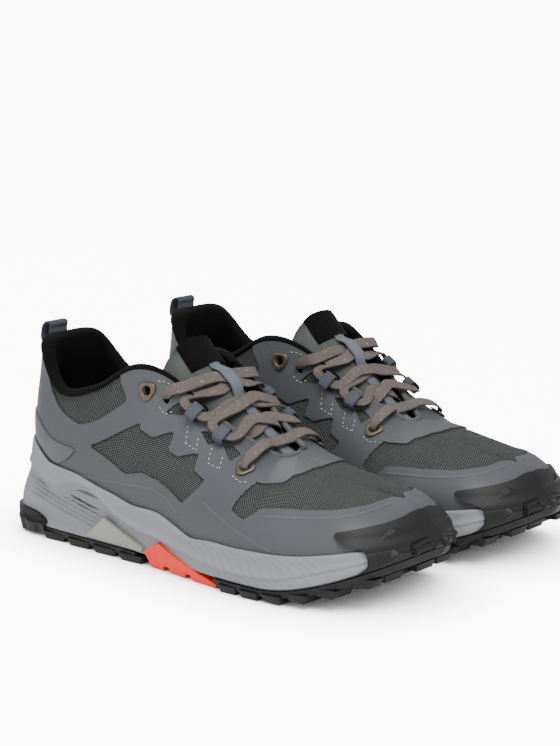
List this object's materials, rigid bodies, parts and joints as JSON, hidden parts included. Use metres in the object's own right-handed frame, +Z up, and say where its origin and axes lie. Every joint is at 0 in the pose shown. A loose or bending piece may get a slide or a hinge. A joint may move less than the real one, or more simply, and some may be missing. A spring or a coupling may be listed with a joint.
{
  "type": "pair of hiking shoes",
  "caption": "Pair of low-cut hiking shoes with welded film overlays, flat laces through webbing loops, padded collar, sculpted midsole and lugged outsole.",
  "frame": {"origin": "on the floor, in the middle between the two shoes and halfway along them", "axes": "+Z up, +X towards the left shoe, toes towards -Y"},
  "size_m": [0.2418, 0.3094, 0.1337],
  "materials": {
    "outsole_rubber": "matt moulded rubber",
    "midsole_foam": "matt moulded foam",
    "shank_plastic": "fine textured plastic",
    "orange_rubber": "matt moulded rubber",
    "board": "pressed fibre",
    "insole_cloth": "brushed cloth",
    "open_mesh": "fine open woven mesh",
    "collar_lining": "padded ribbed knit",
    "film": "thin welded film with fine grain",
    "clip_film": "thin moulded film",
    "piping": "woven binding",
    "tongue_mesh": "ribbed mesh over padding",
    "label_cloth": "folded satin cloth",
    "pale_webbing": "ribbed webbing",
    "webbing": "ribbed webbing",
    "lace_cloth": "flat woven cord",
    "bronze": "satin bronzed metal"
  },
  "bodies": {
    "right_shoe": {"right_outsole_heel": "outsole_rubber", "right_outsole_forefoot": "outsole_rubber", "right_midsole": "midsole_foam", "right_shank_plate": "shank_plastic", "right_midfoot_lug": "orange_rubber", "right_strobel_board": "board", "right_insole": "insole_cloth", "right_upper_shell": "open_mesh", "right_heel_counter": "board", "right_collar_lining": "collar_lining", "right_quarter_film_outer": "film", "right_quarter_film_inner": "film", "right_toe_film": "film", "right_vamp_film": "film", "right_heel_clip": "clip_film", "right_throat_piping": "piping", "right_tongue": "tongue_mesh", "right_tongue_label": "label_cloth", "right_tongue_keeper": "pale_webbing", "right_lace": "lace_cloth", "right_lace_loop_top_outer": "webbing", "right_lace_loop_low_outer": "webbing", "right_lace_loop_top_inner": "webbing", "right_lace_loop_low_inner": "webbing", "right_eyelet_top_outer": "bronze", "right_eyelet_low_outer": "bronze", "right_eyelet_top_inner": "bronze", "right_eyelet_low_inner": "bronze"},
    "left_shoe": {"left_outsole_heel": "outsole_rubber", "left_outsole_forefoot": "outsole_rubber", "left_midsole": "midsole_foam", "left_shank_plate": "shank_plastic", "left_midfoot_lug": "orange_rubber", "left_strobel_board": "board", "left_insole": "insole_cloth", "left_upper_shell": "open_mesh", "left_heel_counter": "board", "left_collar_lining": "collar_lining", "left_quarter_film_outer": "film", "left_quarter_film_inner": "film", "left_toe_film": "film", "left_vamp_film": "film", "left_heel_clip": "clip_film", "left_throat_piping": "piping", "left_tongue": "tongue_mesh", "left_tongue_label": "label_cloth", "left_tongue_keeper": "pale_webbing", "left_lace": "lace_cloth", "left_lace_loop_top_outer": "webbing", "left_lace_loop_low_outer": "webbing", "left_lace_loop_top_inner": "webbing", "left_lace_loop_low_inner": "webbing", "left_eyelet_top_outer": "bronze", "left_eyelet_low_outer": "bronze", "left_eyelet_top_inner": "bronze", "left_eyelet_low_inner": "bronze"},
    "right_pull_loop": {"right_pull_loop": "webbing"},
    "left_pull_loop": {"left_pull_loop": "webbing"}
  },
  "joints": [
    {"name": "left_shoe_lift", "type": "slide", "parent": "right_shoe", "child": "left_shoe", "axis": [0, 0, 1], "range_m": [0, 0.15]},
    {"name": "right_pull_loop_flap", "type": "hinge", "parent": "right_shoe", "child": "right_pull_loop", "pos_m": [-0.061, 0.14219, 0.1115], "axis": [-1, 0, 0], "range_deg": [0, 35], "stiffness_Nm_per_rad": 0.01},
    {"name": "left_pull_loop_flap", "type": "hinge", "parent": "left_shoe", "child": "left_pull_loop", "pos_m": [0.061, 0.14219, 0.1115], "axis": [-1, 0, 0], "range_deg": [0, 35], "stiffness_Nm_per_rad": 0.01}
  ]
}
